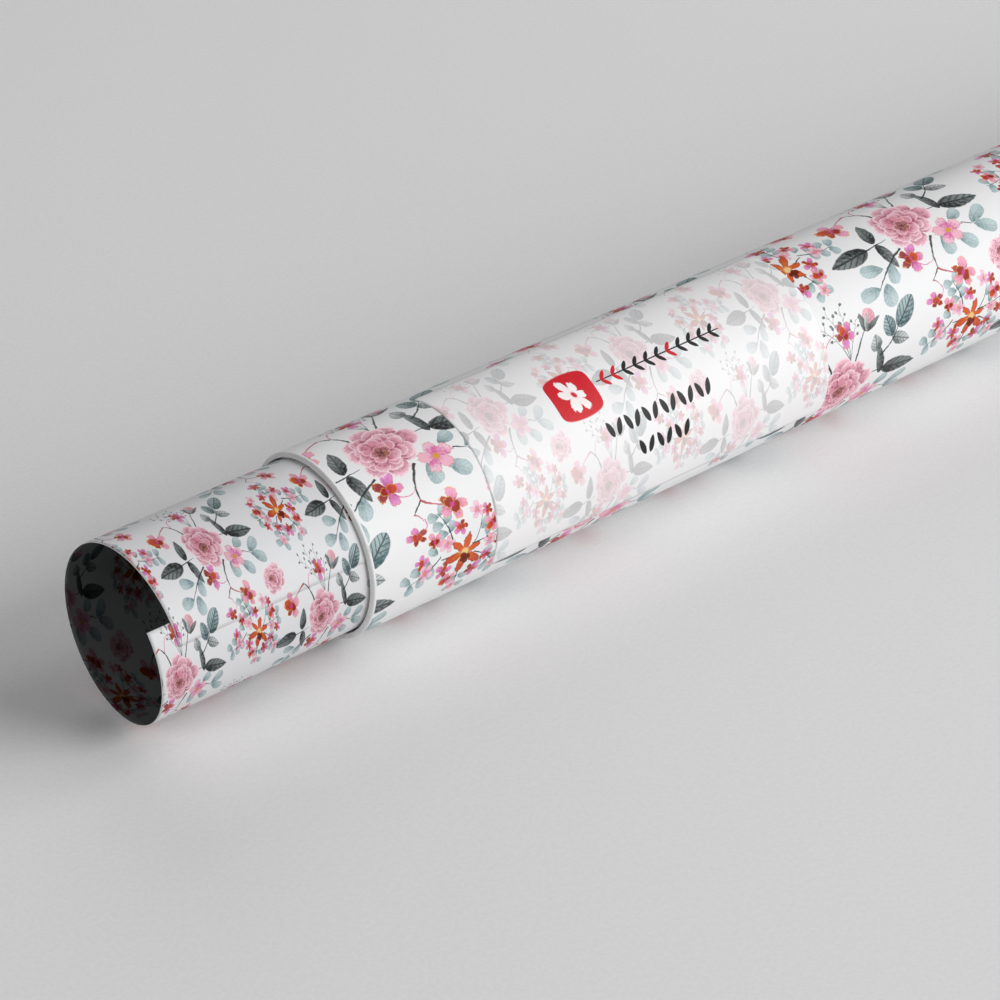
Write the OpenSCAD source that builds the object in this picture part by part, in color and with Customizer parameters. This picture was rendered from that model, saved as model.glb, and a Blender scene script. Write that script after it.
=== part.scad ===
// Roll of printed gift wrap, lying on its side along X.
// A wound web of paper holds a loose, slightly skewed inner sheet that has telescoped out of it
// towards -X, and both sit round a cardboard core made of three glued plies.
// The origin is on the surface that the roll lies on, midway along its whole length.
// Angles round the roll are measured from +Y towards +Z: 90 is the top, 180 the -Y side.

/* [Wound web] */
// Width of the paper, which is the length of the roll
roll_len = 700; // [300:10:1000]
// Outside diameter of the roll
roll_d = 50; // [40:1:60]
// Length of paper wound onto the roll
web_len = 2000; // [1000:100:3000]
// Thickness of the paper
paper_t = 0.1; // [0.06:0.01:0.12]

/* [Inner sheet] */
// Thickness of the heavier, double-sided inner sheet
sheet_t = 0.15; // [0.1:0.01:0.2]
// Radial gap between the inner sheet and the web around it
sheet_gap = 0.53; // [0.4:0.01:1]
// How far the longest point of the sheet stands out of the web
pulled_out = 62.3; // [10:0.1:200]
// How far the skew moves the sheet's rim along the roll in one turn
skew_rise = 6.6; // [1:0.1:12]
// Direction of the edge where the sheet starts, in degrees
sheet_start = 147; // [0:1:359]
// Angle by which the sheet laps over its own start, in degrees
overlap_angle = 15.7; // [5:0.1:90]

/* [Core] */
// Radial gap between the core and the inner sheet
core_gap = 0.3; // [0.1:0.05:1]
// Thickness of each of the core's three plies
ply_t = 0.5; // [0.3:0.1:0.8]

/* [Label] */
// Distance from the roll's open end to the label
label_inset = 39.4; // [10:0.1:150]
// Length of the label along the roll
label_len = 117.3; // [40:0.1:150]
// Angle where the label starts, in degrees
label_start = 70; // [0:1:180]
// Angle that the label covers, in degrees
label_angle = 136.6; // [30:0.1:180]
// Thickness of the label
label_t = 0.1; // [0.08:0.01:0.2]

/* [Tail tape] */
// Number of clear tape tabs that hold the free edge of the web
tape_count = 3; // [1:1:5]
// Width of a tab along the roll
tape_w = 18; // [10:1:30]
// Length of a tab around the roll
tape_len = 30; // [15:1:40]
// Thickness of the tape
tape_t = 0.06; // [0.05:0.01:0.1]
// Direction of the web's free edge, in degrees
tail_angle = 335; // [280:1:360]
// Distance from each end of the roll to the middle of its nearest tab
tape_inset = 60; // [20:5:120]

/* [Hidden] */

$fn = 96;
roll_r = roll_d / 2;
total_len = roll_len + pulled_out;
x_mouth = -total_len / 2;
x_web = x_mouth + pulled_out;

// The wound length times the paper's thickness is the area of the web's ring.
web_r_in = sqrt(pow(roll_r, 2) - web_len * paper_t / PI);
sheet_r_out = web_r_in - sheet_gap;
sheet_r_in = sheet_r_out - sheet_t;
core_r_out = sheet_r_in - core_gap;
ply_r = [for (i = [0:3]) core_r_out - i * ply_t];

// Whole angle that the sheet turns through, from its start to its free edge
sheet_wrap = 360 + overlap_angle;
// Angle between two rulings of the sheet's surface
sheet_step = 5;
// The sheet climbs onto its own start over this angle, and stays this far clear of it.
climb_angle = 45;
lap_gap = 0.03;

tape_pitch = (roll_len - 2 * tape_inset) / max(tape_count - 1, 1);
tape_angle = tape_len / roll_r * 180 / PI;

// Puts a solid drawn round the Z axis round the axis of the roll, with its angle 0 at +Y.
module on_axis(x = 0) {
    translate([x, 0, roll_r]) rotate([90, 0, 90]) children();
}

module tube(r_out, r_in, x, len) {
    on_axis(x) rotate_extrude() translate([r_in, 0]) square([r_out - r_in, len]);
}

// Part of a tube that covers only some of its turn
module shell(r_out, r_in, x, len, start, angle) {
    on_axis(x) rotate([0, 0, start])
        rotate_extrude(angle = angle) translate([r_in, 0]) square([r_out - r_in, len]);
}

// Inside radius of the skewed sheet once it has turned through an angle: level for most of the
// turn, then a smooth climb onto the sheet's own start.
function sheet_r(turned) =
    let (climb = min(max((turned - 360 + climb_angle) / climb_angle, 0), 1))
    sheet_r_in + (sheet_t + lap_gap) * climb * climb * (3 - 2 * climb);

// The four corners of the sheet's section there: two at its near rim, then two at its far rim
function sheet_corners(turned) =
    let (near = x_mouth + skew_rise * turned / 360, far = near + roll_len, r = sheet_r(turned))
    [for (c = [[r, near], [r + sheet_t, near], [r + sheet_t, far], [r, far]])
        [c[0] * cos(turned), c[0] * sin(turned), c[1]]];

// The web, wound some thirteen turns deep
module outer_web() {
    color("whitesmoke") tube(roll_r, web_r_in, x_web, roll_len);
}

// The printed sticker over the front and top
module label() {
    color("mistyrose")
        shell(roll_r + label_t, roll_r, x_web + label_inset, label_len, label_start, label_angle);
}

// Tabs of clear tape across the free edge
module tail_tape() {
    color("lightcyan", 0.5)
        for (i = [0:tape_count - 1])
            shell(roll_r + tape_t, roll_r, x_web + tape_inset + i * tape_pitch - tape_w / 2,
                  tape_w, tail_angle - tape_angle / 2, tape_angle);
}

// One skewed turn of the sheet and the lap over its own start, as a sheet of even thickness
module inner_sheet() {
    steps = ceil(sheet_wrap / sheet_step);
    last = 4 * steps;
    corners = [for (i = [0:steps]) each sheet_corners(sheet_wrap * i / steps)];
    sides = [for (i = [0:steps - 1], k = [0:3])
        let (a = 4 * i + k, b = 4 * i + (k + 1) % 4) each [[a, b, b + 4], [a, b + 4, a + 4]]];
    ends = [[3, 2, 1, 0], [last, last + 1, last + 2, last + 3]];
    color("lavenderblush")
        on_axis() rotate([0, 0, sheet_start]) polyhedron(corners, concat(sides, ends));
}

module core_outer_ply() {
    color("tan") tube(ply_r[0], ply_r[1], x_web, roll_len);
}

module core_middle_ply() {
    color("burlywood") tube(ply_r[1], ply_r[2], x_web, roll_len);
}

module core_inner_ply() {
    color("tan") tube(ply_r[2], ply_r[3], x_web, roll_len);
}

outer_web();
label();
tail_tape();
inner_sheet();
core_outer_ply();
core_middle_ply();
core_inner_ply();
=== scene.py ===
import math
import random
from collections import namedtuple

import bpy
import numpy as np
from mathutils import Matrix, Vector


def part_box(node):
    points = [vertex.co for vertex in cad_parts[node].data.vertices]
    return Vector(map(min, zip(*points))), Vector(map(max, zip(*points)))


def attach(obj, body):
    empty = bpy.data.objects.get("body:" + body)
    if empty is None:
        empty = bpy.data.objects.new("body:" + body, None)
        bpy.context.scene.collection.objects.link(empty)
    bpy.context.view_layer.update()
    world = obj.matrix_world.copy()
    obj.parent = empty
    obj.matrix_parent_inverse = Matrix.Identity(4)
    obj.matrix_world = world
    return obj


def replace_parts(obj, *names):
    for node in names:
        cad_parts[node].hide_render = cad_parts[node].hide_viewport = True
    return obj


# A roll of printed gift wrap: a wound web, a skewed inner sheet telescoped out of it, a paper label,
# tape tabs and a core of three plies of kraft, grey and kraft board. Lengths are metres, and angles
# round the roll are degrees from +Y towards +Z, unless a name says otherwise. The printed artwork
# has its own millimetres.

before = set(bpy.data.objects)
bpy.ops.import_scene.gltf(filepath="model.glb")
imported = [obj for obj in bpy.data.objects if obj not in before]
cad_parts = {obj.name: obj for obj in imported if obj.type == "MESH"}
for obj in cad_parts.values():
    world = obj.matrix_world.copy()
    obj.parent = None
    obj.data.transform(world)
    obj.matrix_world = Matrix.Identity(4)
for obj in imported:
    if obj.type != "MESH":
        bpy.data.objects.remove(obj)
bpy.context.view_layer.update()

MM = 0.001


def radii(node):
    """Smallest and largest distance of a CAD node's points from the roll's axis."""
    points = np.array([v.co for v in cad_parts[node].data.vertices])
    r = np.hypot(points[:, 1], points[:, 2] - AXIS_Z)
    return float(r.min()), float(r.max())


# ---- sizes taken from the frame
web_low, web_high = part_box("outer_web")
AXIS_Z = (web_low.z + web_high.z) / 2
WEB_X = web_low.x
ROLL_LEN = web_high.x - web_low.x
WEB_R_IN, WEB_R = radii("outer_web")
MOUTH_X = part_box("inner_sheet")[0].x
SHEET_R_IN = radii("inner_sheet")[0]
CORE_R = {n: radii(n) for n in ("core_inner_ply", "core_middle_ply", "core_outer_ply")}

# ---- sizes shared with the CAD source
SHEET_T = 0.15 * MM
SHEET_START = 147
SHEET_LAP = 15.7
SHEET_CLIMB = 45
SHEET_LAP_GAP = 0.03 * MM
SKEW_RISE = 6.6 * MM
LABEL_T = 0.1 * MM
TAIL_ANGLE = 335

# ---- the printed artwork
# The artwork repeats every TILE_X along the roll and every TILE_Y round it. It is drawn in its own
# millimetres, which are real ones on the wound web; the other sheets print it smaller.
TILE_X = 92.1
TILE_Y = 2 * math.pi * WEB_R / MM / 2

# Inks: each is what a leaf, a stroke or a flower is painted with. Colours are sRGB, 0 to 255.
LeafInk = namedtuple("LeafInk", "light dark line")
StrokeInk = namedtuple("StrokeInk", "start end")
BloomInk = namedtuple("BloomInk", "inner outer rim accent heart")


def inks(form, table):
    return {name: form(*colours) for name, colours in table.items()}


LEAF_INKS = inks(LeafInk, {
    "eucalyptus": ((192, 208, 210), (104, 134, 138), (92, 124, 128)),
    "veined": ((166, 186, 188), (74, 104, 108), (36, 54, 58)),
    "slate": ((132, 140, 140), (28, 33, 33), (10, 13, 13)),
    "mist": ((206, 210, 210), (110, 118, 118), (76, 84, 84)),
    "rose": ((240, 184, 192), (196, 98, 120), (150, 62, 84)),
    "seed": ((128, 134, 134), (70, 78, 78), (60, 68, 68)),
    "dark mark": ((18, 18, 20),) * 3,
    "red mark": ((212, 18, 36), (206, 14, 32), (206, 14, 32)),
})
STROKE_INKS = inks(StrokeInk, {
    "twig": ((16, 20, 22), (64, 72, 74)),
    "branch": ((8, 8, 10), (28, 28, 30)),
    "blush": ((176, 56, 40), (214, 116, 156)),
    "pink": ((216, 110, 146), (222, 140, 178)),
    "grass": ((96, 104, 104), (120, 126, 126)),
})
BLOOM_INKS = inks(BloomInk, {
    "peony": ((176, 84, 108), (238, 184, 198), (252, 232, 238), (222, 148, 166), (150, 70, 84)),
    "peony heart": ((118, 62, 58), (208, 138, 144), (242, 214, 212), (168, 104, 90), (92, 60, 44)),
    "magenta": ((172, 30, 96), (228, 142, 206), (222, 150, 70), (142, 20, 6), (196, 70, 20)),
    "gold edge": ((186, 44, 84), (238, 166, 198), (234, 170, 30), (168, 40, 10), (206, 90, 20)),
    "dark petals": ((110, 14, 4), (204, 74, 22), (238, 180, 48), (150, 26, 8), (206, 60, 140)),
    "blush": ((214, 100, 160), (244, 206, 218), (214, 142, 128), (238, 178, 196), (212, 152, 40)),
    "lily": ((232, 140, 24), (196, 56, 6), (112, 22, 4), (214, 84, 8), (240, 200, 130)),
    "lip": ((92, 16, 4), (132, 28, 10), (70, 12, 4), (110, 22, 8), (84, 14, 4)),
    "seal flower": ((250, 238, 238), (253, 250, 250), (244, 226, 228), (253, 250, 250), (214, 40, 52)),
})

Element = namedtuple("Element", "kind at turn size ink extra")


def bearing(start, end):
    return math.atan2(end[1] - start[1], end[0] - start[0])


def leaf(base, tip, width, ink="eucalyptus", swell=(0.5, 0.5), veins=0.3):
    """A leaf from base to tip. swell gives how full it is towards its base and towards its tip:
    its half width follows u**swell[0] * (1 - u)**swell[1]."""
    a, b = swell
    peak = (a / (a + b)) ** a * (b / (a + b)) ** b
    size = (math.dist(base, tip), width / 2 / peak)
    return Element("leaf", base, bearing(base, tip), size, ink, (a, b, veins))


def stroke(start, end, width=0.5, ink="twig", bow=0.0, jag=0.0):
    """A tapering brush stroke. bow is how far its middle stands off to one side, jag its zigzag."""
    half = width / 2
    size = (math.dist(start, end), half)
    return Element("stroke", start, bearing(start, end), size, ink, (bow / half, jag / half, 0.0))


def bloom(at, radius, petals, depth, ink, turn=0.0, squash=1.0, seed=0.0):
    """A flower seen from above. depth is how far the gaps between its petals reach to its middle,
    and seed, from 0 to 0.99, varies its petals."""
    size = (radius, radius * squash)
    return Element("bloom", at, math.radians(turn), size, ink, (petals, depth, seed))


# How long an orchid's two dark petals are, of its radius. The pale ones have none
DARK_PETALS = {"magenta": 0.58, "gold edge": 0.9}


def orchid(at, radius, ink="magenta", turn=0.0, squash=0.85, seed=0.0):
    """Five pink petals, and over them two narrow dark ones with golden edges."""
    flower = [bloom(at, radius, 5, 0.62, ink, turn, squash, seed)]
    if ink in DARK_PETALS:
        flower.append(bloom(at, radius * DARK_PETALS[ink], 2, 0.86, "dark petals",
                            turn + 95, squash, 0.98 - seed))
    return flower


# A peony's rings, from the outermost: size, of the flower's own, number of petals, and their depth
PEONY_RINGS = ((1.0, 8, 0.2), (0.85, 7, 0.24), (0.7, 8, 0.26),
               (0.56, 6, 0.26), (0.42, 6, 0.28), (0.27, 5, 0.3))


def peony(at, width, height, seed):
    """Rings of ruffled petals, each ring smaller and a little off centre, round a brownish heart."""
    draw = random.Random(seed)
    flower = []
    for scale, petals, depth in PEONY_RINGS:
        drift = 0.09 * width * (1 - scale)
        middle = (at[0] - 0.8 * drift + draw.uniform(-drift, drift) / 2,
                  at[1] + draw.uniform(-drift, drift))
        ink = "peony" if scale > PEONY_RINGS[-1][0] else "peony heart"
        flower.append(bloom(middle, width / 2 * scale, petals, depth, ink,
                            squash=height / width, seed=draw.uniform(0, 0.99)))
    return flower


def moved(elements, at, turn=0.0, mirror=False):
    """The elements turned about their own origin, mirrored left to right if asked, and moved to at."""
    c, s = math.cos(math.radians(turn)), math.sin(math.radians(turn))
    out = []
    for e in elements:
        x, y = e.at
        angle, extra = e.turn, e.extra
        if mirror:
            x, angle = -x, math.pi - angle
            if e.kind == "stroke":
                extra = (-extra[0], extra[1], extra[2])
        place = (at[0] + c * x - s * y, at[1] + s * x + c * y)
        out.append(e._replace(at=place, turn=angle + math.radians(turn), extra=extra))
    return out


def frond(start, end, pairs, length, width, bow=0.6):
    """A dark stem with pairs of small round leaves, which stand 62 degrees off it."""
    heading = math.degrees(bearing(start, end))
    out = []
    for i in range(pairs):
        u = (i + 1) / (pairs + 0.4)
        x, y = (a + (b - a) * u for a, b in zip(start, end))
        for side in (-1, 1):
            a = math.radians(heading + side * 62)
            tip = (x + length * math.cos(a), y + length * math.sin(a))
            out.append(leaf((x, y), tip, width, swell=(0.8, 0.42)))
    return out + [stroke(start, end, 0.55, "twig", bow)]


def spray(foot, tips):
    """Fine grass stems from one foot, with small seeds on short side twigs towards their tips."""
    out = []
    for n, tip in enumerate(tips):
        bow = 0.5 * (len(tips) / 2 - n)
        out.append(stroke(foot, tip, 0.34, "grass", bow))
        along = np.subtract(tip, foot)
        normal = np.array((-along[1], along[0])) / math.hypot(*along)
        for i in range(6):
            u = 0.5 + i * 0.1
            side = 1 if i % 2 else -1
            stand = side * (2.4 - 1.6 * (u - 0.5)) + bow * 4 * u * (1 - u)
            root = foot + along * u + normal * bow * 4 * u * (1 - u)
            knot = root + normal * stand * 0.55 + along * 0.06
            end = knot + normal * side * 0.7 + along * 0.06
            out += [stroke(root, knot, 0.24, "grass"), leaf(knot, end, 0.9, "seed", (0.6, 0.6), 0.0)]
    return out


def bouquet():
    """The large peony with its leaves, orchids, branches, bud and grasses."""
    pointed = (0.55, 0.85)
    back = [leaf(*row) for row in (
        ((13, -7.5), (12.4, -12.6), 4.6, "mist", pointed, 0.7),
        ((18.9, -9.7), (25.6, -7), 4.2, "mist", pointed, 0.8),
        ((18.9, -10), (17.6, -16.4), 4.9, "veined", (0.5, 0.6), 0.9),
        ((21.2, -12), (28.6, -18.8), 6.4, "veined", (0.5, 0.55), 0.9),
        ((15.2, 0.6), (13.4, -10), 3.2, "slate", pointed, 0.6),
        ((-13.6, 2.8), (-12.2, -6), 4.6, "slate", pointed, 0.7),
        ((-13.4, 3.4), (-11, 12.4), 4, "slate", pointed, 0.7),
        ((-17.2, 3.9), (-31.7, 5), 6.2, "slate", pointed, 0.9),
        ((15.6, -0.8), (29.4, 1.6), 5.8, "slate", pointed, 0.9),
    )]
    back += [leaf(base, tip, width, swell=(0.75, 0.42)) for base, tip, width in (
        ((-13, 10), (-14.8, 16), 4.4), ((-16.4, 10.8), (-24.2, 9.4), 4.2),
        ((-20.4, 15.6), (-28.2, 16.2), 4.4), ((-17.8, 14.8), (-18.6, 21.4), 5.6),
        ((8, 8.6), (9.2, 14.8), 4.9), ((13.2, 10.4), (19, 15), 4.6),
        ((14.2, 5), (19.4, 3.2), 4), ((20.4, 8.6), (27.4, 4.8), 4.4),
        ((21, 9.2), (28.2, 12.8), 4.4),
    )]
    stems = [stroke(*row) for row in (
        ((4, -6.6), (9.4, -16), 0.9, "twig", -0.3), ((13.8, -5.6), (21.4, -12.2), 0.8, "twig", 0.8),
        ((-17.4, 3.9), (-9, 3), 0.6, "twig"), ((9, -1.2), (16, -0.8), 0.6, "twig"),
        ((-7, 7.2), (-20.8, 15.8), 0.9, "twig", 0.8), ((17.2, 7.4), (21.2, 9.2), 0.5, "twig"),
        ((5, 7.4), (1.6, 14), 1.3, "branch", 0.4, 0.15), ((1.6, 13.6), (1.4, 17), 0.8, "branch"),
        ((1.6, 16.6), (-2, 19.6), 0.7, "branch"), ((-2, 19.4), (0.4, 22), 0.5, "blush", -0.5),
        ((0.6, 21.4), (-1, 24.4), 0.5, "pink", -1), ((1.4, 16.8), (9.6, 20.6), 0.8, "blush", 0.5),
        ((-5.2, 12.2), (2.2, 13.4), 0.6, "pink", 1.7),
        ((-4.8, -6.6), (-7.4, -12.2), 1.1, "branch", 0.3, 0.1),
        ((-7.2, -11.6), (-10.2, -14), 0.8, "twig", 0.4),
        ((-9.4, -13.8), (-17.6, -8.9), 0.8, "blush", 0.6),
        ((-6.8, -11.6), (0, -17.2), 0.6, "pink", -2.2), ((17.4, 8), (11.6, 8.4), 0.5, "pink", 0.6),
    )]
    grasses = spray((2.6, -8), ((-7.4, -21.4), (-2.6, -23.4), (2.4, -23), (6.6, -18.6)))
    bud = [leaf(*row) for row in (
        ((9.6, -14.4), (12.4, -20.4), 5, "rose", (0.5, 0.4), 0.4),
        ((9.4, -14.6), (8.4, -20.2), 2.4, "slate", pointed, 0.5),
        ((9.8, -14.6), (15.6, -17.4), 1.8, "slate", pointed, 0.4),
        ((9.6, -14.6), (11, -19.6), 2, "mist", pointed, 0.5),
    )]
    orchids = []
    for row in (((-19.6, -8.2), 5.6, "gold edge", 20, 0.95, 0.3),
                ((1.6, -16.4), 4.8, "magenta", 60, 0.9, 0.7),
                ((-5.8, 11.2), 5.2, "magenta", 80, 1.1, 0.11),
                ((-2.8, 25), 4.2, "magenta", 10, 0.75, 0.5),
                ((9.6, 20.8), 5.8, "gold edge", 40, 0.75, 0.2)):
        orchids += orchid(*row)
    orchids.append(bloom((11.6, 8), 6.6, 5, 0.45, "blush", 15, 0.85, 0.9))
    return back + stems + grasses + bud + orchids + peony((0, 0), 24.2, 20.6, seed=4)


def lily_cluster():
    """An orange lily in a wreath of small orchids, with leafy fronds pointing outwards."""
    fronds = (
        frond((-3.6, -4.6), (-6.6, -13.2), 3, 3.6, 2.7)
        + frond((-7.6, -1.6), (-18.6, 3.2), 3, 4, 3, -0.8)
        + frond((3, 1.2), (11.2, 9.6), 3, 4, 2.9, -0.8)
        + frond((2.4, -1.4), (13.6, -2.8), 2, 3.8, 2.8)
        + frond((-1, 3.6), (-1.6, 12.4), 2, 3.8, 2.7)
    )
    fillers = [leaf((x, y), (x + dx, y + dy), 2.8, swell=(0.75, 0.45)) for x, y, dx, dy in
               ((-8.6, -2.8, -2.6, -2.4), (5.6, -4.4, 3, -2.6), (-4.4, 5.2, -3, 2.4))]
    twigs = [stroke((2.6, -1), (6.6, -8.6), 0.4, "twig", 0.6),
             stroke((-2, 0.6), (-7.6, -0.6), 0.9, "branch", 0.2)]
    small = []
    ring = (
        (-9.2, -6.4, 3.1, "gold edge"), (-5.4, -4.6, 3, "blush"), (-13.8, -2, 2.9, "magenta"),
        (-12.8, 1.2, 3, "blush"), (-0.4, -7.4, 2.9, "magenta"), (5.4, -9.8, 2.6, "blush"),
        (8.4, -8.8, 2.4, "magenta"), (9.4, -4.8, 3.2, "gold edge"), (8.2, -0.4, 2.8, "blush"),
        (11.2, 1.2, 2.6, "magenta"), (-6.8, 3.2, 3.4, "magenta"), (-5.2, 7.2, 3.1, "gold edge"),
        (3, 7.2, 3.5, "magenta"), (-2.4, 11.4, 2.7, "blush"), (9.6, 8.4, 2.8, "blush"),
        (7, 4.2, 2.7, "magenta"),
    )
    for i, (x, y, radius, ink) in enumerate(ring):
        small += orchid((x, y), radius, ink, turn=47 * i, squash=0.9, seed=0.06 * i)
    lily = [bloom((0, 0), 7.8, 6, 0.78, "lily", 20, 0.9, 0.24),
            bloom((-0.1, 2), 2.2, 4, 0.35, "lip", 30, 0.85, 0.1)]
    return fronds + fillers + twigs + small + lily


# One repeat of the artwork: two bouquets, two lily clusters (one a mirror image) and a lone peony
MOTIFS = (
    moved(lily_cluster(), (0.53 * TILE_X, -0.01 * TILE_Y), turn=-15, mirror=True)
    + moved(lily_cluster(), (0.12 * TILE_X, 0.44 * TILE_Y))
    + bouquet()
    + moved(bouquet(), (0.57 * TILE_X, 0.5 * TILE_Y))
    + peony((0.29 * TILE_X, 0.255 * TILE_Y), 16.4, 12.2, seed=9)
)

# It is painted leaves first, then stems, then flowers
ARTWORK = [e for kind in ("leaf", "stroke", "bloom") for e in MOTIFS if e.kind == kind]

# ---- how the artwork reaches a mesh
# The print is painted in layers. Each face of a printed surface holds, for each layer, the one
# element that can touch it there, as three vectors. (x, y, 1) . along and (x, y, 1) . across are
# a point's coordinates in the element's own frame, where its length and half width are 1. form is
# (extra 0, extra 1, ink number + extra 2). The material draws the element's shape and tints from them.
LAYERS = ("leaf",) * 6 + ("stroke",) * 8 + ("bloom",) * 9
FIELDS = ("along", "across", "form")
INKS = {"leaf": LEAF_INKS, "stroke": STROKE_INKS, "bloom": BLOOM_INKS}
# The fields of a face that a layer leaves bare: an element far away
BLANK = {"along": (0.0, 0.0, -9.0), "across": (0.0, 0.0, 9.0), "form": (1.0, 1.0, 0.0)}
# How far the wavy outlines may stray from the plain ones, in artwork millimetres
WAVER = 0.35


def fields_of(e):
    """What the faces that an element touches hold."""
    c, s = math.cos(e.turn), math.sin(e.turn)
    x, y = e.at
    length, half = e.size
    number = list(INKS[e.kind]).index(e.ink)
    return {"along": (c / length, s / length, -(c * x + s * y) / length),
            "across": (-s / half, c / half, (s * x - c * y) / half),
            "form": (e.extra[0], e.extra[1], number + e.extra[2])}


def touches(e, x, y, reach):
    """Which of the points x, y lie within reach of the element's outline."""
    c, s = math.cos(e.turn), math.sin(e.turn)
    u = c * (x - e.at[0]) + s * (y - e.at[1])
    v = -s * (x - e.at[0]) + c * (y - e.at[1])
    length, half = e.size
    if e.kind == "bloom":
        grown = (u / (length + reach)) ** 2 + (v / (half + reach)) ** 2
        return grown < 1
    along = np.clip(u / length, 0.001, 0.999)
    if e.kind == "leaf":
        body = half * along ** e.extra[0] * (1 - along) ** e.extra[1]
    else:
        v = v - half * e.extra[0] * 4 * along * (1 - along)
        body = half * (1 + abs(e.extra[1]))
    return (u > -reach) & (u < length + reach) & (np.abs(v) < body + reach)


class Print:
    """The fields of one printed surface's faces. art holds the artwork's x and y at its grid points,
    with x growing along its rows and y along its columns."""

    def __init__(self, art, layers=LAYERS):
        centres = (art[:-1, :-1] + art[1:, :-1] + art[1:, 1:] + art[:-1, 1:]) / 4
        self.x, self.y, self.layers = centres[..., 0], centres[..., 1], layers
        self.step_x = float(np.median(np.diff(self.x[:, 0])))
        self.start_x = self.x[1] - self.step_x
        self.low, self.high = self.y.min(axis=0), self.y.max(axis=0)
        self.reach = 0.5 * math.hypot(self.step_x, np.diff(self.y, axis=1).max()) + WAVER
        self.top = np.full(self.x.shape, -1)
        self.fields = {field: np.tile(np.float32(value), (len(layers), *self.x.shape, 1))
                       for field, value in BLANK.items()}
        # above[kind][k] is the first layer of a kind that isn't under layer k
        none = len(layers)
        self.above = {kind: np.array([next((k for k in range(low, none) if layers[k] == kind), none)
                                      for low in range(none + 1)]) for kind in INKS}

    def add(self, e):
        size = max(e.size) * (1 if e.kind == "bloom" else 1.1) + self.reach
        j0 = np.searchsorted(self.high, e.at[1] - size)
        j1 = np.searchsorted(self.low, e.at[1] + size)
        if j0 >= j1:
            return
        i0 = int((e.at[0] - size - self.start_x[j0:j1].max()) / self.step_x)
        i1 = int((e.at[0] + size - self.start_x[j0:j1].min()) / self.step_x) + 2
        i0, i1 = max(i0, 0), min(i1, self.x.shape[0])
        if i0 >= i1:
            return
        block = (slice(i0, i1), slice(j0, j1))
        hit = touches(e, self.x[block], self.y[block], self.reach)
        i, j = np.nonzero(hit)
        i, j = i + i0, j + j0
        layer = self.above[e.kind][self.top[i, j] + 1]
        found = layer < len(self.layers)
        i, j, layer = i[found], j[found], layer[found]
        self.top[i, j] = layer
        for field, value in fields_of(e).items():
            self.fields[field][layer, i, j] = value

    def with_artwork(self):
        """Repeats the artwork over the whole surface."""
        spare = 40  # millimetres, more than any motif reaches from its middle
        columns, rings = (range(math.floor((art.min() - spare) / tile),
                                math.ceil((art.max() + spare) / tile) + 1)
                          for art, tile in ((self.x, TILE_X), (self.y, TILE_Y)))
        for e in ARTWORK:
            for i in columns:
                for j in rings:
                    self.add(e._replace(at=(e.at[0] + i * TILE_X, e.at[1] + j * TILE_Y)))
        return self


# ---- node helpers
def linear(rgb, share=1.0):
    """A share of an sRGB colour, 0 to 255, as the linear RGBA that shaders use."""
    parts = [share * c / 255 for c in rgb]
    return tuple(c / 12.92 if c <= 0.04045 else ((c + 0.055) / 1.055) ** 2.4 for c in parts) + (1.0,)


def feed(tree, socket, value):
    """Links a wire to an input, or sets the input to a plain value."""
    if isinstance(value, Wire):
        tree.links.new(value.socket, socket)
    else:
        socket.default_value = value


def add_node(tree, kind, *values, **settings):
    """A new shader node, with its settings and its first inputs."""
    node = tree.nodes.new("ShaderNode" + kind)
    for key, value in settings.items():
        setattr(node, key, value)
    for socket, value in zip(node.inputs, values):
        feed(tree, socket, value)
    return node


class Wire:
    """The output of a shader node. Each sum or change made to it adds a node and gives a new wire.

    The painted papers have hundreds of nodes, and Cycles holds the results of those it has worked
    out on a small stack. It goes through nodes in the order they are made, but a hidden node for a
    change of socket type or a clamp comes last, and holds up all that follows it. So nodes are made
    in the order they are worked out, and the painting uses no clamp options and mixes no types."""

    def __init__(self, tree, node, output=0):
        self.tree, self.socket = tree, node.outputs[output]

    def then(self, kind, *values, output=0, **settings):
        return Wire(self.tree, add_node(self.tree, kind, self, *values, **settings), output)

    def math(self, operation, *values):
        return self.then("Math", *values, operation=operation)

    def __rsub__(self, number):
        return Wire(self.tree, add_node(self.tree, "Math", number, self, operation="SUBTRACT"))

    def clamped(self):
        return self.math("MINIMUM", 1.0).math("MAXIMUM", 0.0)

    def dot(self, vector):
        return self.then("VectorMath", vector, output="Value", operation="DOT_PRODUCT")

    def split(self):
        """A vector's three parts. Dot products give them without a change of socket type."""
        return [self.dot(unit) for unit in ((1, 0, 0), (0, 1, 0), (0, 0, 1))]

    def smooth(self, low, high, to_low=0.0, to_high=1.0):
        """Eases from to_low, where the value is low, to to_high, where it is high."""
        return self.then("MapRange", low, high, to_low, to_high,
                         interpolation_type="SMOOTHSTEP", clamp=False)

    def mix(self, a, b):
        """The colour a where the value is 0, and b where it is 1."""
        return mixed(self.tree, self, a, b)

    def noise(self, scale, detail=2.0, roughness=0.5):
        node = add_node(self.tree, "TexNoise", self, noise_dimensions="3D")
        for name, value in (("Scale", scale), ("Detail", detail), ("Roughness", roughness)):
            node.inputs[name].default_value = value
        return Wire(self.tree, node, "Fac")

    def ramp(self, colours):
        """A ramp of equal flat steps, one for each colour."""
        node = add_node(self.tree, "ValToRGB", self)
        node.color_ramp.interpolation = "CONSTANT"
        stops = node.color_ramp.elements
        stops[0].color = linear(colours[0])
        stops.remove(stops[1])
        for i, colour in enumerate(colours[1:], 1):
            stops.new(i / len(colours)).color = linear(colour)
        return Wire(self.tree, node)


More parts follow.
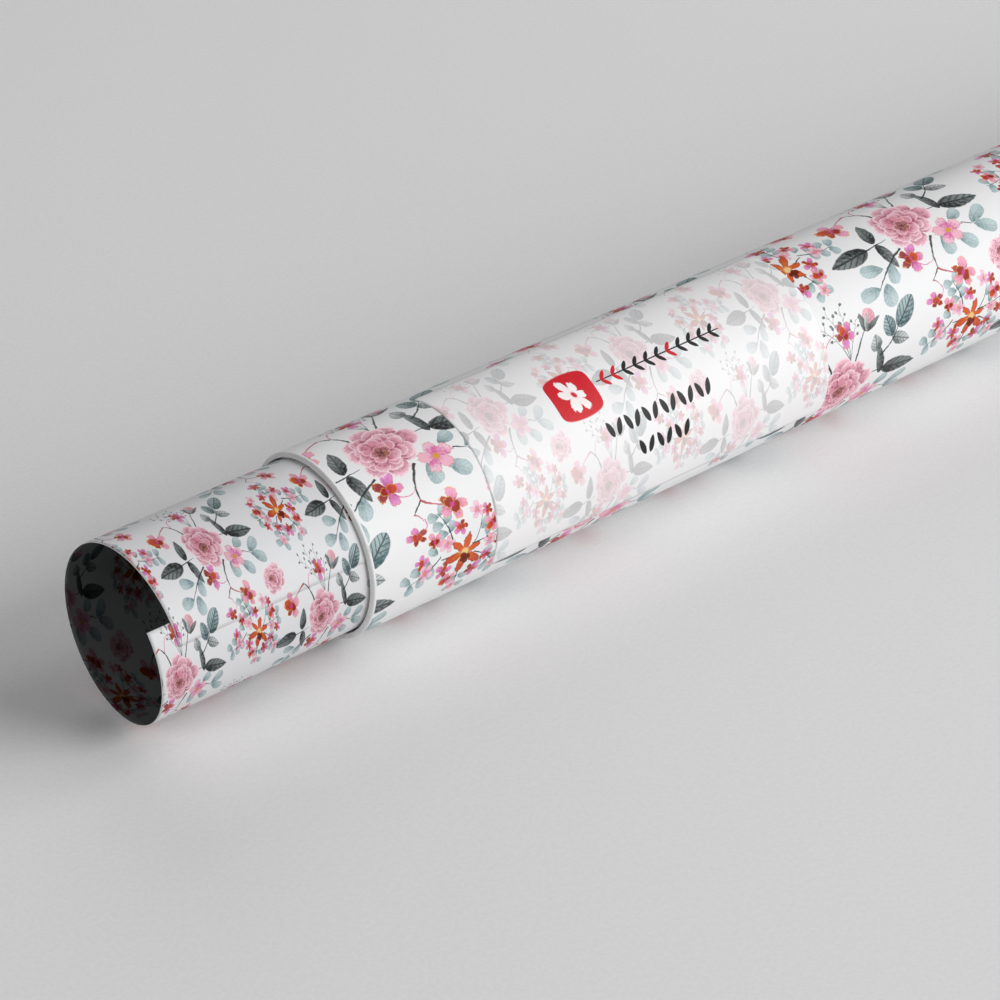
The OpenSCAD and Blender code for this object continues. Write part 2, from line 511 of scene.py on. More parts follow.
# The sums that have an operator or a name of their own
for sum_name, sum_operation in {
        "__add__": "ADD", "__sub__": "SUBTRACT", "__mul__": "MULTIPLY", "__truediv__": "DIVIDE",
        "__pow__": "POWER", "__abs__": "ABSOLUTE", "madd": "MULTIPLY_ADD", "sine": "SINE",
        "floor": "FLOOR", "fraction": "FRACT", "larger": "MAXIMUM"}.items():
    setattr(Wire, sum_name, lambda wire, *values, kind=sum_operation: wire.math(kind, *values))


def mixed(tree, factor, a, b, blend="MIX"):
    node = add_node(tree, "Mix", data_type="RGBA", blend_type=blend, clamp_factor=True)
    for number, value in ((0, factor), (6, a), (7, b)):
        feed(tree, node.inputs[number], value)
    return Wire(tree, node, 2)


def join(tree, x, y, z):
    return Wire(tree, add_node(tree, "CombineXYZ", x, y, z))


def attribute(tree, name):
    return Wire(tree, add_node(tree, "Attribute", attribute_name=name), "Vector")


def in_element(io, kind):
    """A point's coordinates in the element's own frame, the element's extra numbers, and a function
    that gives the colour of one part of its ink."""
    u, v = (io["Artwork"].dot(io[field]) for field in ("Along", "Across"))
    first, second, third = io["Form"].split()
    table = list(INKS[kind].values())
    number = third.floor()
    code = number.madd(1 / len(table), 0.5 / len(table))
    extras = (first, second, third - number)
    return u, v, extras, lambda part: code.ramp([getattr(ink, part) for ink in table])


def draw_leaf(io):
    u, v, (swell_base, swell_tip, veins), ink = in_element(io, "leaf")
    u = u.clamped()
    side = abs(v)
    inside = u ** swell_base * (1.0 - u) ** swell_tip - side
    ribs = side.madd(-26.0, u * 34.0).sine().smooth(0.2, 1.0)
    midrib = side.smooth(0.06, 0.015)
    lines = (ribs * 0.75).larger(midrib) * veins
    shade = u.smooth(0.75, 0.0, 0.0, 0.75) + v.smooth(-0.05, 0.2, 0.0, veins.madd(0.4, 0.2))
    shade *= io["Grain"].smooth(0.3, 0.7, 0.45, 1.35)
    rim = inside.smooth(0.12, 0.0, 0.0, 0.45)
    colour = shade.mix(ink("light"), ink("dark"))
    colour = rim.larger(lines).mix(colour, ink("line"))
    return inside.smooth(0.0, 0.06, 0.0, 0.985).mix(io["Under"], colour)


def draw_stroke(io):
    u, v, (bow, jag, _), ink = in_element(io, "stroke")
    bend = u * 4.0 * (1.0 - u)
    zigzag = (u * 5.0).math("PINGPONG", 1.0)
    off = abs(v - bow.madd(bend, jag * zigzag))
    half = u.madd(-0.45, io["Grain"].madd(0.6, 0.7))
    cover = (half - off).smooth(0.0, 0.5)
    ends = u.math("COMPARE", 0.5, 0.5)
    cover *= ends * 0.95
    colour = u.mix(ink("start"), ink("end"))
    return cover.mix(io["Under"], colour)


def draw_bloom(io):
    u, v, (petals, depth, seed), ink = in_element(io, "bloom")
    grain = io["Grain"]
    radius = u.madd(u, v * v).math("SQRT")
    turns = v.math("ARCTAN2", u) * (1 / (2 * math.pi))
    count = turns.madd(petals, seed * 50.0)
    across = count.fraction()
    which = count.floor().math("FLOORED_MODULO", petals)
    # A different number from 0 to 1 for each petal
    chance = (seed.madd(310.0, which * 12.99).sine() * 437.6).fraction()
    fold = abs(across.madd(2.0, -1.0))
    # Very deep gaps make pointed petals, and deep ones petals of uneven length
    gap = depth * fold ** depth.smooth(0.66, 0.8, 2.6, 1.3)
    uneven = chance * depth.smooth(0.3, 0.6, -0.3, -0.34)
    reach = (1.0 - gap) * (uneven + 1.0)
    # The grain frays the petals' edges
    reach += (grain - 0.5) * depth.smooth(0.3, 0.5, 0.2, 0.45)
    inside = reach - radius
    along = radius / reach
    shade = along.smooth(0.97, depth.madd(-1.35, 0.97), 0.0, 0.85)
    shade += fold.smooth(0.55, 1.0, 0.0, 0.6)
    shade += across.smooth(0.55, 1.0, 0.0, 0.3)
    veins = across.madd(44.0, grain * 14.0).sine()
    shade += veins.smooth(0.1, 1.0, 0.0, depth.smooth(0.3, 0.5, 0.12, 0.34))
    shade += chance.madd(0.5, -0.25)
    shade *= grain.smooth(0.3, 0.7, 0.45, 1.2)
    colour = shade.mix(ink("outer"), ink("inner"))
    tinted = chance.smooth(0.56, 0.62) * along.smooth(0.15, 0.5, 0.2, 0.95)
    colour = tinted.mix(colour, ink("accent"))
    colour = inside.smooth(0.11, 0.02, 0.0, 0.85).mix(colour, ink("rim"))
    colour = radius.smooth(0.2, 0.1).mix(colour, ink("heart"))
    return inside.smooth(0.0, 0.04, 0.0, 0.97).mix(io["Under"], colour)


def ink_group(kind, draw):
    """The node group that paints one layer of a kind of element over what is under it."""
    tree = bpy.data.node_groups.new("paint " + kind, "ShaderNodeTree")
    sockets = {"Under": "Color", "Artwork": "Vector", "Grain": "Float",
               "Along": "Vector", "Across": "Vector", "Form": "Vector"}
    for name, form in sockets.items():
        tree.interface.new_socket(name, in_out="INPUT", socket_type="NodeSocket" + form)
    tree.interface.new_socket("Painted", in_out="OUTPUT", socket_type="NodeSocketColor")
    entry = tree.nodes.new("NodeGroupInput")
    painted = draw({name: Wire(tree, entry, name) for name in sockets})
    feed(tree, tree.nodes.new("NodeGroupOutput").inputs[0], painted)
    return tree


GROUPS = {kind: ink_group(kind, draw)
          for kind, draw in (("leaf", draw_leaf), ("stroke", draw_stroke), ("bloom", draw_bloom))}


def material(name, roughness, specular):
    """A new Principled material, its node tree, its shader's inputs, and each point's place."""
    made = bpy.data.materials.new(name)
    made.use_nodes = True
    tree = made.node_tree
    shader = tree.nodes["Principled BSDF"].inputs
    shader["Roughness"].default_value = roughness
    shader["Specular IOR Level"].default_value = specular
    return made, tree, shader, Wire(tree, add_node(tree, "TexCoord"), "Object")


def set_bump(tree, shader, height, strength, distance):
    bump = add_node(tree, "Bump")
    bump.inputs["Strength"].default_value = strength
    bump.inputs["Distance"].default_value = distance
    feed(tree, bump.inputs["Height"], height)
    feed(tree, shader["Normal"], Wire(tree, bump))


# sRGB colours: the printed papers' white, what veils the label's print, and bare cut edges
PAPER_WHITE = (236, 236, 237)
VEIL_WHITE = (246, 244, 245)
EDGE_WHITE = (250, 250, 250)
# How far from a rim the bare margin gives way to the print, in millimetres
MARGIN_FADE = 0.15


def paint(tree, ground, layers, artwork, grain, first=0):
    """Paints layers first, first + 1, ... over the ground colour."""
    for k, kind in enumerate(layers, first):
        fields = [attribute(tree, f"{field} {k}") for field in FIELDS]
        ground = Wire(tree, add_node(tree, "Group", ground, artwork, grain, *fields,
                                     node_tree=GROUPS[kind]))
    return ground


def printed_paper(name, veil=0.0, overprint=(), margin=0.0, stock_and_shade=None):
    """Smooth white paper with the artwork on it. veil whitens the artwork, overprint is the kinds of
    the layers drawn over it at full strength, margin is the bare strip along the rims, and
    stock_and_shade is what the print is multiplied by: the paper's own tint on the sheet's outside
    face, and a dark grey of painted shade on its inside face."""
    made, tree, shader, place = material(name, 0.5, 0.22)
    x, y, rim = attribute(tree, "artwork").split()
    still = join(tree, x, y, 1.0)
    wavy = [at + place.noise(scale / MM).madd(2 * WAVER, -WAVER)
            for at, scale in ((x, 0.55), (y, 0.61))]
    wavy = join(tree, *wavy, 1.0)
    grain = place.noise(1.1 / MM, 3.0, 0.6)
    white = linear(PAPER_WHITE)
    colour = paint(tree, white, LAYERS, wavy, grain)
    if veil:
        colour = mixed(tree, veil, colour, linear(VEIL_WHITE))
    colour = paint(tree, colour, overprint, still, grain, len(LAYERS))
    if margin:
        colour = rim.smooth(margin, margin + MARGIN_FADE).mix(white, colour)
    # On the sheet's inside face this multiplies the print by a dark grey, which is painted shade
    if stock_and_shade:
        colour = mixed(tree, 1.0, colour, linear(stock_and_shade), "MULTIPLY")
    feed(tree, shader["Base Color"], colour)
    fibre = place.noise(9.0 / MM, 4.0, 0.65)
    feed(tree, shader["Roughness"], fibre.smooth(0.25, 0.75, 0.42, 0.58))
    set_bump(tree, shader, fibre, 0.12, 0.02 * MM)
    return made


def bare_paper(name):
    """White paper with no print, as on the cut edges and the web's inner face."""
    made, tree, shader, place = material(name, 0.7, 0.2)
    fibre = place.noise(2500.0, 3.0, 0.6)
    colour = fibre.smooth(0.35, 0.7).mix(linear(EDGE_WHITE, 0.96), linear(EDGE_WHITE))
    feed(tree, shader["Base Color"], colour)
    return made


# ---- meshes
def stacked(*parts):
    """Grids of single numbers, or plain numbers, as one grid of vectors."""
    return np.stack(np.broadcast_arrays(*parts), axis=-1)


def ring_point(x, r, angle):
    a = np.radians(angle)
    return stacked(x, r * np.cos(a), AXIS_Z + r * np.sin(a))


def link(obj):
    bpy.context.scene.collection.objects.link(obj)
    return obj


class Surface:
    """Collects grids of points into one mesh, and joins the points that they share."""

    def __init__(self):
        self.points, self.faces, self.slots, self.smooth = [], [], [], []
        self.marks, self.prints = [], []
        self.point_count = self.face_count = 0

    def grid(self, points, slot=0, smooth=True, flip=False, marks=None, prints=()):
        """Adds a grid of faces, which look outwards where its rows lie along the roll's axis and its
        columns go round it. marks maps an attribute's name to its values at the grid's points.
        prints are pairs of a Print and the number of its first layer; each covers the first rows."""
        rows, columns = points.shape[:2]
        ids = self.point_count + np.arange(rows * columns).reshape(rows, columns)
        corners = stacked(ids[:-1, :-1], ids[:-1, 1:], ids[1:, 1:], ids[1:, :-1]).reshape(-1, 4)
        self.points.append(points.reshape(-1, 3))
        self.faces.append(corners[:, ::-1] if flip else corners)
        self.slots += [slot] * len(corners)
        self.smooth += [smooth] * len(corners)
        self.marks.append((self.point_count, marks or {}))
        self.prints += [(self.face_count, made, first) for made, first in prints]
        self.point_count += rows * columns
        self.face_count += len(corners)

    def walls(self, outer, inner, slot, closed=False):
        """Joins the edges of an outer and an inner grid."""
        for side, flip in ((0, False), (-1, True)):
            self.grid(np.stack([inner[side], outer[side]]), slot, smooth=False, flip=flip)
        for side, flip in () if closed else ((0, False), (-1, True)):
            self.grid(np.stack([inner[:, side], outer[:, side]], axis=1), slot, smooth=False, flip=flip)

    def build(self, name, body, materials):
        points = np.concatenate(self.points)
        faces = np.concatenate(self.faces)
        shared, first, joined = np.unique(np.round(points / (0.001 * MM)), axis=0,
                                          return_index=True, return_inverse=True)
        joined = joined.reshape(-1)[faces]
        mesh = bpy.data.meshes.new(name)
        mesh.vertices.add(len(shared))
        mesh.vertices.foreach_set("co", points[first].ravel().astype(np.float32))
        mesh.loops.add(faces.size)
        mesh.loops.foreach_set("vertex_index", joined.ravel())
        mesh.polygons.add(len(faces))
        mesh.polygons.foreach_set("loop_start", np.arange(0, faces.size, 4))
        mesh.polygons.foreach_set("material_index", self.slots)
        mesh.polygons.foreach_set("use_smooth", self.smooth)
        mesh.update(calc_edges=True)
        self.write_marks(mesh, faces)
        self.write_prints(mesh)
        for m in materials:
            mesh.materials.append(m)
        obj = link(bpy.data.objects.new(name, mesh))
        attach(obj, body)
        return obj

    def write_marks(self, mesh, faces):
        names = sorted({name for _, marks in self.marks for name in marks})
        for name in names:
            values = np.zeros((self.point_count, 3), np.float32)
            for start, marks in self.marks:
                if name in marks:
                    grid = marks[name].reshape(-1, 3)
                    values[start:start + len(grid)] = grid
            attribute = mesh.attributes.new(name, "FLOAT_VECTOR", "CORNER")
            attribute.data.foreach_set("vector", values[faces].ravel())

    def write_prints(self, mesh):
        count = max((first + len(made.layers) for _, made, first in self.prints), default=0)
        for k in range(count):
            for field in FIELDS:
                values = np.tile(np.float32(BLANK[field]), (self.face_count, 1))
                for start, made, first in self.prints:
                    if first <= k < first + len(made.layers):
                        block = made.fields[field][k - first].reshape(-1, 3)
                        values[start:start + len(block)] = block
                attribute = mesh.attributes.new(f"{field} {k}", "FLOAT_VECTOR", "FACE")
                attribute.data.foreach_set("vector", values.ravel())


# ---- where the artwork lies on each sheet
# Each sheet prints the artwork at its own scale, along and round the roll, from an anchor: the place
# on the roll of the middle of one large peony. Distances along are from the web's open end.
Placing = namedtuple("Placing", "along angle scale_x scale_y")
WEB_PLACING = Placing(18.0 * MM, 103.5, 1.0, 1.0)
SHEET_PLACING = Placing(-38.2 * MM, 111.9, 0.458, 0.745)
INSIDE_PLACING = Placing(-60.9 * MM, -7.4, 0.467, -0.827)
LABEL_PLACING = Placing(50.0 * MM, 111.0, 0.519, 0.784)


def art_x(x, placing):
    return (x - WEB_X - placing.along) / MM / placing.scale_x


def art_y(angle, radius, placing):
    return np.radians(angle - placing.angle) * radius / MM / placing.scale_y


def art_points(x, angle, radius, placing, rim):
    """The artwork's x and y at the points of a grid, and their distance from a rim in millimetres."""
    return stacked(art_x(x, placing), art_y(angle, radius, placing), rim)


def rows(start, end, step):
    """Evenly spaced places from start to end, about a step apart."""
    return np.linspace(start, end, max(2, round(abs(end - start) / step) + 1))


def to_ends(place, low, high):
    """How far a place is from the nearer one of two ends."""
    return np.minimum(place - low, high - place)


# ---- the wound web
WEB_TURNS = 12
WOUND_T = (WEB_R - WEB_R_IN) / (WEB_TURNS + 1)
WEB_CELL = 1.6
END_GROOVE = 0.03 * MM
END_WANDER = 0.06 * MM
# The outer turns' edges are set back a little, which rounds the rim
RIM_ROUND = 1.25 * MM
RIM_SET_BACK = 0.85 * MM
# The corners of a turn's cut edge, from its outer face to its inner one
EDGE_CORNERS = np.array([0.0, 0.2, 0.8, 1.0])


def web_radius(back):
    """Radius of the web's outer face after so many degrees of unwinding from its free edge."""
    return WEB_R - WOUND_T * back / 360


def top_radius(angle):
    """Radius of the outermost face of the web at an angle."""
    return web_radius((TAIL_ANGLE - angle) % 360)


def set_back(back, share=0.0):
    """How far a turn's edge lies behind the end's plane, from how deep it lies in the roll."""
    depth = WOUND_T * (back / 360 + share)
    short = 1 - np.clip(depth / RIM_ROUND, 0, 1)
    return RIM_SET_BACK * (1 - np.sqrt(1 - short * short))


def between_rims(x, start):
    """Places along the web, pulled in at both ends to where its edge lies."""
    return np.clip(x, start, 2 * WEB_X + ROLL_LEN - start)


def web_end(surface, x, inward):
    """The cut end of the wound web: a spiral strip, with a fine groove between its turns."""
    full = WEB_TURNS * 360
    back = rows(0, full, 4)
    fade = np.clip(to_ends(back, 0, full) / 60, 0, 1)
    # Two slow waves move the edge in and out
    wander = 0.5 + 0.3 * np.sin(np.radians(back * 0.31 + 40 * inward)) \
        + 0.2 * np.sin(np.radians(back * 1.13 + 80 * inward))
    edge = END_WANDER * wander * fade
    groove = (edge + END_GROOVE) * fade
    # The outermost turn's outer edge and the innermost one's inner edge meet the plain faces
    offsets = (groove * (back >= 360), edge, edge, groove * (back <= full - 360))
    columns = [ring_point(x + inward * (offset + set_back(back, share)),
                          web_radius(back) - share * WOUND_T, TAIL_ANGLE - back)
               for offset, share in zip(offsets, EDGE_CORNERS)]
    surface.grid(np.stack(columns, axis=1), 1, smooth=False, flip=inward > 0)


def make_outer_web():
    surface = Surface()
    x = rows(WEB_X, WEB_X + ROLL_LEN, WEB_CELL * MM)
    angle = rows(TAIL_ANGLE - 360, TAIL_ANGLE, math.degrees(WEB_CELL * MM / WEB_R))
    x = x[:, None]
    outer_x = between_rims(x, WEB_X + set_back(TAIL_ANGLE - angle))
    rim = to_ends(x, WEB_X, WEB_X + ROLL_LEN)
    art = art_points(outer_x, angle, WEB_R, WEB_PLACING, rim / MM)
    printed = Print(art).with_artwork()
    surface.grid(ring_point(outer_x, web_radius(TAIL_ANGLE - angle), angle), 0,
                 marks={"artwork": art}, prints=[(printed, 0)])
    full = WEB_TURNS * 360
    surface.grid(ring_point(x, web_radius(full + TAIL_ANGLE - angle), angle), 1, flip=True)
    lip = EDGE_CORNERS * WOUND_T
    lip_x = between_rims(x, WEB_X + set_back(0, EDGE_CORNERS))
    surface.grid(ring_point(lip_x, web_radius(0) - lip, TAIL_ANGLE), 1, smooth=False)
    surface.grid(ring_point(x, web_radius(full) - lip, TAIL_ANGLE), 1, smooth=False, flip=True)
    web_end(surface, WEB_X, 1)
    web_end(surface, WEB_X + ROLL_LEN, -1)
    web = surface.build("wound_web", "outer_roll",
                        [printed_paper("web paper", margin=0.7), bare_paper("web paper edge")])
    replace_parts(web, "outer_web")


# ---- the inner sheet
SHEET_CELL_X = 1.0 * MM
SHEET_CELL_TURN = 3.2
INSIDE_PRINT = 130 * MM
# What the sheet's print is multiplied by: its outside is nearly white, and its inside is a dark grey of
# painted shade that stands in for the shadow inside the tube
SHEET_STOCK = (238, 238, 239)
INSIDE_PAINTED_SHADE = (112, 114, 114)


def sheet_radius(turned):
    """Inside radius of the sheet once it has turned so far: level, then up onto its own start."""
    climb = np.clip((turned - 360 + SHEET_CLIMB) / SHEET_CLIMB, 0, 1)
    return SHEET_R_IN + (SHEET_T + SHEET_LAP_GAP) * climb ** 2 * (3 - 2 * climb)


def sheet_art_y(angle):
    """The artwork's y on the sheet: true to scale where it shows, and eased on the hidden side so
    that a whole number of repeats goes round."""
    hidden_from, hidden_to, ease, repeats = 235.0, 405.0, 40.0, 3
    step = 0.25
    fine = np.arange(0, 360 + step, step)
    turn = np.where(fine < hidden_to - 360, fine + 360, fine)
    bump = (np.clip((turn - hidden_from) / ease, 0, 1)
            * np.clip((hidden_to - turn) / ease, 0, 1))
    slope = math.radians(1) * (SHEET_R_IN + SHEET_T) / MM / SHEET_PLACING.scale_y
    density = slope + bump * (repeats * TILE_Y - 360 * slope) / (bump[:-1].sum() * step)
    total = np.concatenate([[0], np.cumsum((density[:-1] + density[1:]) / 2 * step)])
    whole, part = np.divmod(angle, 360)
    at_anchor = np.interp(SHEET_PLACING.angle, fine, total)
    return total[-1] * whole + np.interp(part, fine, total) - at_anchor


def make_inner_sheet():
    surface = Surface()
    turned = rows(0, 360 + SHEET_LAP, SHEET_CELL_TURN)
    along = rows(0, ROLL_LEN, SHEET_CELL_X)
    angle = SHEET_START + turned
    x = MOUTH_X + along[:, None] + SKEW_RISE * turned / 360
    rim = to_ends(along, 0, ROLL_LEN)[:, None] / MM
    radius = sheet_radius(turned)
    outer, inner = (ring_point(x, r, angle) for r in (radius + SHEET_T, radius))
    art = stacked(art_x(x, SHEET_PLACING), sheet_art_y(angle), rim)
    outside = Print(art).with_artwork()
    surface.grid(outer, 0, marks={"artwork": art}, prints=[(outside, 0)])
    # The inside face is taken round the other way, as its print is not seen through the paper
    art = art_points(x, angle - 360, SHEET_R_IN, INSIDE_PLACING, rim)[:, ::-1]
    inside = Print(art[:round(INSIDE_PRINT / SHEET_CELL_X)]).with_artwork()
    surface.grid(inner[:, ::-1], 2, marks={"artwork": art}, prints=[(inside, 0)])
    surface.walls(outer, inner, 1)
    # The sheet's inside face darkens its print with painted shade, a dark grey that the print is
    # multiplied by
    sheet = surface.build("skewed_sheet", "inner_sheet",
                          [printed_paper("sheet paper", margin=0.12, stock_and_shade=SHEET_STOCK),
                           bare_paper("sheet edge"), printed_paper("sheet inside", stock_and_shade=INSIDE_PAINTED_SHADE)])
    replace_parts(sheet, "inner_sheet")


# ---- the label and the tape tabs
# The undersides of the label and the tape lie this far above the web
UNDERSIDE_LIFT = 0.004 * MM
label_low, label_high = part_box("label")
LABEL_FROM, LABEL_TO = 70.0, 206.6
LABEL_CORNER = 1.2 * MM
LABEL_CELL = 0.75 * MM
LABEL_PRESSED = 2.0 * MM
LABEL_VEIL = 0.63
# The marks on the label, in real millimetres from its left and upper edges
PATCH_AT, PATCH_SIZE, PATCH_FLOWER = (35.6, 22.6), (14.0, 14.4), 5.4
GARLAND_MIDDLE, GARLAND_LEN = (65.2, 21.8), 43.0
GARLAND_FROM, GARLAND_PITCH, GARLAND_PAIRS, GARLAND_RED = 46.2, 3.8, 11, (0, 1, 6)
LEAF_ROWS, LEAF_PITCH = ((58.0, 34.8, 12), (57.6, 42.8, 6)), 3.1
OVERPRINT = ("leaf", "leaf", "leaf", "bloom")


def patch_angles(first, last, columns, inset):
    """Angles of a patch's columns, row by row, where inset pulls both ends of each row in."""
    share = np.linspace(0, 1, columns)
    return (first + inset)[:, None] * (1 - share) + (last - inset)[:, None] * share


def label_marks():
    """What the label shows: a red patch with a flower, and three lines of small leaves."""
    def at(x, y):
        return (art_x(label_low.x + x * MM, LABEL_PLACING),
                art_y(LABEL_FROM + math.degrees(y * MM / WEB_R), WEB_R, LABEL_PLACING))

    def lens(middle, length, height, ink, swell):
        x, y = middle
        return leaf(at(x - length / 2, y), at(x + length / 2, y), height / LABEL_PLACING.scale_y,
                    ink, (swell, swell), 0.0)

    marks = [lens(PATCH_AT, *PATCH_SIZE, "red mark", 0.13),
             lens(GARLAND_MIDDLE, GARLAND_LEN, 0.4, "dark mark", 0.05)]
    stem = GARLAND_MIDDLE[1]
    for i in range(GARLAND_PAIRS):
        x = GARLAND_FROM + GARLAND_PITCH * i
        ink = "red mark" if i in GARLAND_RED else "dark mark"
        for side in (-1, 1):
            marks.append(leaf(at(x - 0.9, stem), at(x + 1.5, stem + side * 2.3), 1.9, ink,
                              (0.5, 0.6), 0.0))
    for middle, y, count in LEAF_ROWS:
        for i in range(count):
            x = middle + LEAF_PITCH * (i - (count - 1) / 2)
            lean = 0.9 if i % 2 else -0.9
            marks.append(leaf(at(x - lean, y + 2.2), at(x + lean, y - 2.2), 3.4, "dark mark",
                              (0.6, 0.7), 0.0))
    squash = LABEL_PLACING.scale_x / LABEL_PLACING.scale_y
    marks.append(bloom(at(*PATCH_AT), PATCH_FLOWER / LABEL_PLACING.scale_x, 6, 0.5, "seal flower",
                       30, squash, 0.2))
    return marks


def make_label():
    surface = Surface()
    x = rows(label_low.x, label_high.x, LABEL_CELL)
    near_end = LABEL_CORNER - np.minimum(to_ends(x, x[0], x[-1]), LABEL_CORNER)
    inset = np.degrees((LABEL_CORNER - np.sqrt(LABEL_CORNER ** 2 - near_end ** 2)) / WEB_R)
    arc = math.radians(LABEL_TO - LABEL_FROM) * WEB_R
    angle = patch_angles(LABEL_FROM, LABEL_TO, round(arc / LABEL_CELL), inset)
    x = x[:, None]
    # The label's edges are pressed down, so that they throw hardly any shadow
    to_edge = np.minimum(to_ends(x, x[0], x[-1]),
                         np.radians(to_ends(angle, LABEL_FROM, LABEL_TO)) * WEB_R)
    pressed = 0.3 + 0.7 * np.clip(to_edge / LABEL_PRESSED, 0, 1)
    outer, inner = (ring_point(x, top_radius(angle) + lift, angle)
                    for lift in (LABEL_T * pressed, UNDERSIDE_LIFT))
    art = art_points(x, angle, WEB_R, LABEL_PLACING, 9.0)
    printed = Print(art).with_artwork()
    marks = Print(art, OVERPRINT)
    for e in sorted(label_marks(), key=lambda e: e.kind == "bloom"):
        marks.add(e)
    surface.grid(outer, 0, marks={"artwork": art}, prints=[(printed, 0), (marks, len(LAYERS))])
    surface.grid(inner[:, ::-1], 1)
    surface.walls(outer, inner, 1)
    label = surface.build("paper_label", "outer_roll",
                          [printed_paper("label paper", veil=LABEL_VEIL, overprint=OVERPRINT),
                           bare_paper("label edge")])
    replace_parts(label, "label")


TAPE_T = 0.05 * MM
TAPE_WIDTH = 18 * MM
TAPE_LENGTH = 30 * MM
TAPE_TOOTH = 1.2 * MM
TAPE_AT = (60 * MM, 350 * MM, 640 * MM)


def clear_film():
    made, tree, shader, place = material("clear film", 0.12, 0.5)
    smear = place.noise(180.0, 3.0, 0.6)
    feed(tree, shader["Roughness"], smear.smooth(0.3, 0.7, 0.08, 0.24))
    feed(tree, shader["Base Color"], smear.mix(linear((236, 238, 236)), linear((246, 247, 246))))
    shader["Alpha"].default_value = 0.3
    return made


def make_tape():
    """Three tabs of clear film over the web's free edge, with teeth where they were torn off."""
    film = clear_film()
    for number, start in enumerate(TAPE_AT, 1):
        surface = Surface()
        x = rows(0, TAPE_WIDTH, TAPE_TOOTH / 4)
        tooth = np.abs((x / TAPE_TOOTH) % 1 - 0.5) * TAPE_TOOTH
        half = math.degrees(TAPE_LENGTH / 2 / WEB_R)
        angle = patch_angles(TAIL_ANGLE - half, TAIL_ANGLE + half, 60, np.degrees(tooth / WEB_R))
        # The film bridges the small step at the web's free edge
        step = np.clip((angle - TAIL_ANGLE) / 5, 0, 1)
        radius = np.where(angle < TAIL_ANGLE, top_radius(angle), WEB_R - WOUND_T * step + 0.001 * MM)
        x = WEB_X + start + x[:, None]
        outer, inner = (ring_point(x, radius + lift, angle) for lift in (TAPE_T, UNDERSIDE_LIFT))
        surface.grid(outer, 0)
        surface.grid(inner[:, ::-1], 0)
        surface.walls(outer, inner, 0)
        tab = surface.build(f"tape_tab_{number}", "outer_roll", [film])
        if number == 1:
            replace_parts(tab, "tail_tape")


# ---- the core
SEAM_PITCH = 62 * MM
SEAM_WIDTH = 0.35 * MM
SEAM_DEPTH = 0.12 * MM


def core_board(name, light, dark):
    """Unbleached board: mottled, with long fibres, and darker along the seam of its strip."""
    made, tree, shader, place = material(name, 0.85, 0.2)
    stretched = add_node(tree, "Mapping", place)
    stretched.inputs["Scale"].default_value = (0.25, 1.0, 1.0)
    fibre = Wire(tree, stretched).noise(2600.0, 4.0, 0.7)
    mottle = place.noise(160.0, 3.0, 0.6)
    fleck = place.noise(1400.0).smooth(0.68, 0.76)
    tone = mottle.madd(0.5, fibre * 0.6)
    colour = tone.smooth(0.35, 0.75).mix(linear(dark), linear(light))
    colour = (fleck * 0.5).mix(colour, linear(dark, 0.55))
    seam = attribute(tree, "seam").split()[0]
    colour = seam.smooth(0.6, 0.1, 0.0, 0.65).mix(colour, linear(dark, 0.5))
    feed(tree, shader["Base Color"], colour)
    feed(tree, shader["Roughness"], fibre.smooth(0.3, 0.7, 0.75, 0.95))
    set_bump(tree, shader, fibre, 0.35, 0.05 * MM)
    return made


def make_ply(node, name, board, wind):
    """One spiral-wound tube. Its columns follow the strip's edge, where a fine groove shows."""
    low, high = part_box(node)
    inner_r, outer_r = CORE_R[node]
    groove = math.degrees(SEAM_WIDTH / inner_r)
    spread = np.concatenate([[0, groove], rows(groove + 6, 354 - groove, 6.5), [360 - groove, 360]])
    x = rows(low.x, high.x, 1.4 * MM)[:, None]
    angle = spread + wind * 360 * (x - low.x) / SEAM_PITCH
    depth = SEAM_DEPTH * ((spread == 0) | (spread == 360))
    away = to_ends(spread, 0, 360) * math.radians(1) * inner_r / MM
    marks = {"seam": stacked(away, 0 * angle, 0 * angle)}
    outer, inner = ring_point(x, outer_r - depth, angle), ring_point(x, inner_r + depth, angle)
    surface = Surface()
    surface.grid(outer, marks=marks)
    surface.grid(inner, flip=True, marks=marks)
    surface.walls(outer, inner, 0, closed=True)
    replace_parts(surface.build(name, "core", [board]), node)


def make_core():
    kraft = core_board("kraft board", (196, 158, 116), (158, 120, 82))
    grey = core_board("grey board", (168, 162, 152), (132, 126, 116))
    make_ply("core_outer_ply", "kraft_outer_ply", kraft, 1)
    make_ply("core_middle_ply", "grey_middle_ply", grey, -1)
    make_ply("core_inner_ply", "kraft_inner_ply", kraft, 1)


make_outer_web()
make_inner_sheet()
make_label()
make_tape()
make_core()

# ---- floor, light and camera
CAMERA_AZIMUTH = -39.84
CAMERA_ELEVATION = 33.26
CAMERA_DISTANCE = 0.8301
CAMERA_LENS = 113.74
# The camera looks at a point under the roll's axis, this far from the web's open end
AIM = Vector((WEB_X + 0.0613, 0.0, 0.0131))
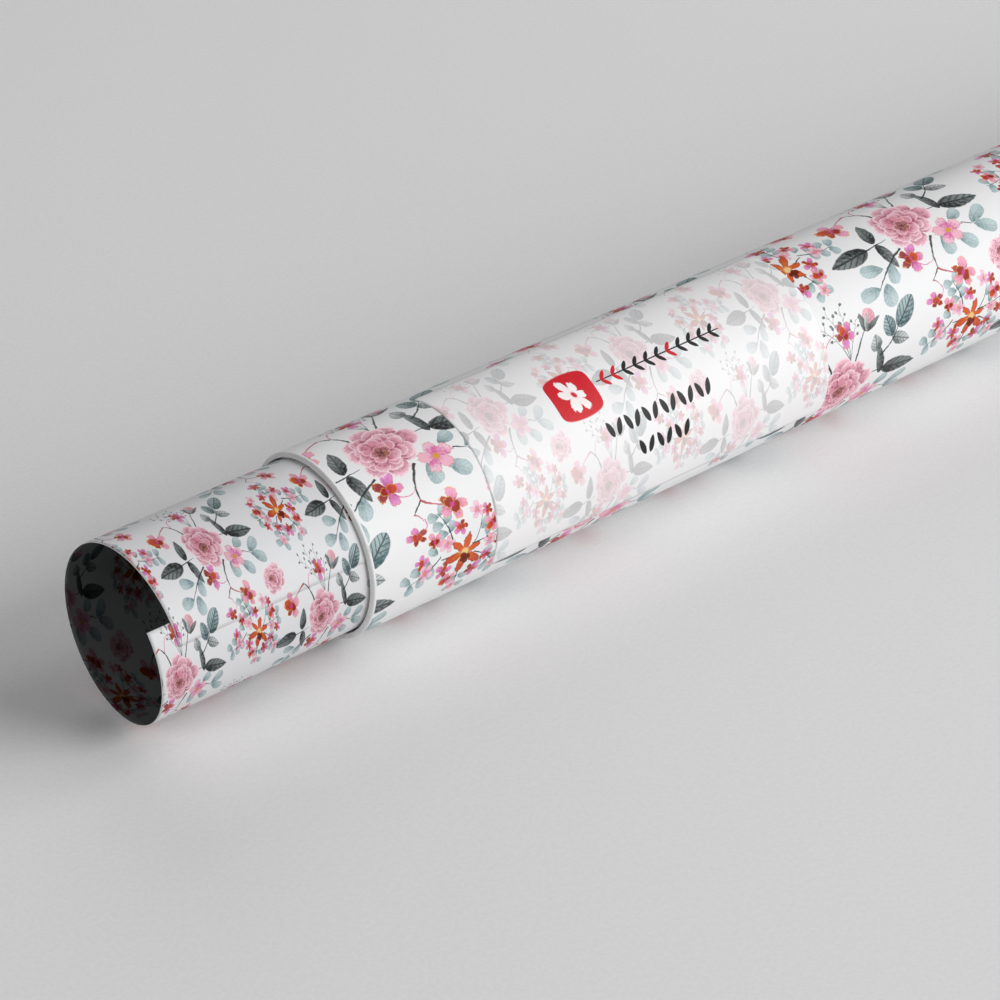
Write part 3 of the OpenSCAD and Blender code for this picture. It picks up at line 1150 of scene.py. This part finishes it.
# Soft round lights at one distance: azimuth, elevation, width in metres, power in watts
LIGHT_DISTANCE = 3.0
LIGHTS = {"key": (34, 26, 1.9, 72), "side": (72, 38, 1.6, 17), "fill": (-78, 36, 1.6, 17),
          "back": (152, 30, 1.6, 15), "top": (0, 88, 2.4, 5)}
WORLD_COLOUR = (0.98, 0.99, 1.0, 1)
WORLD_STRENGTH = 0.06
FLOOR_HALF = 15.0
FLOOR_COLOURS = (233, 233, 233), (237, 237, 237)


def direction(azimuth, elevation):
    a, e = math.radians(azimuth), math.radians(elevation)
    return Vector((math.sin(a) * math.cos(e), -math.cos(a) * math.cos(e), math.sin(e)))


def aimed(obj, place):
    """Places an object so that it looks at AIM."""
    obj.location = place
    obj.rotation_euler = (AIM - place).to_track_quat("-Z", "Y").to_euler()
    return link(obj)


def make_camera():
    data = bpy.data.cameras.new("camera")
    data.lens = CAMERA_LENS
    data.sensor_width = 36
    data.clip_start = 0.01
    place = AIM + CAMERA_DISTANCE * direction(CAMERA_AZIMUTH, CAMERA_ELEVATION)
    bpy.context.scene.camera = aimed(bpy.data.objects.new("camera", data), place)


def make_lights():
    for name, (azimuth, elevation, size, power) in LIGHTS.items():
        data = bpy.data.lights.new(name, "AREA")
        data.shape = "DISK"
        data.size = size
        data.energy = power
        aimed(bpy.data.objects.new(name, data), AIM + LIGHT_DISTANCE * direction(azimuth, elevation))


def make_floor():
    mesh = bpy.data.meshes.new("floor")
    corners = [(x * FLOOR_HALF, y * FLOOR_HALF, 0) for x, y in ((-1, -1), (1, -1), (1, 1), (-1, 1))]
    mesh.from_pydata(corners, [], [(0, 1, 2, 3)])
    made, tree, shader, place = material("floor", 0.9, 0.1)
    fleck = place.noise(900.0, 3.0).smooth(0.3, 0.7)
    feed(tree, shader["Base Color"], fleck.mix(*map(linear, FLOOR_COLOURS)))
    mesh.materials.append(made)
    floor = link(bpy.data.objects.new("floor", mesh))


def make_world():
    world = bpy.data.worlds.new("studio")
    world.use_nodes = True
    inputs = world.node_tree.nodes["Background"].inputs
    inputs["Color"].default_value = WORLD_COLOUR
    inputs["Strength"].default_value = WORLD_STRENGTH
    bpy.context.scene.world = world



bpy.context.scene.view_settings.view_transform = "Standard"
make_camera()
make_floor()
make_lights()
make_world()
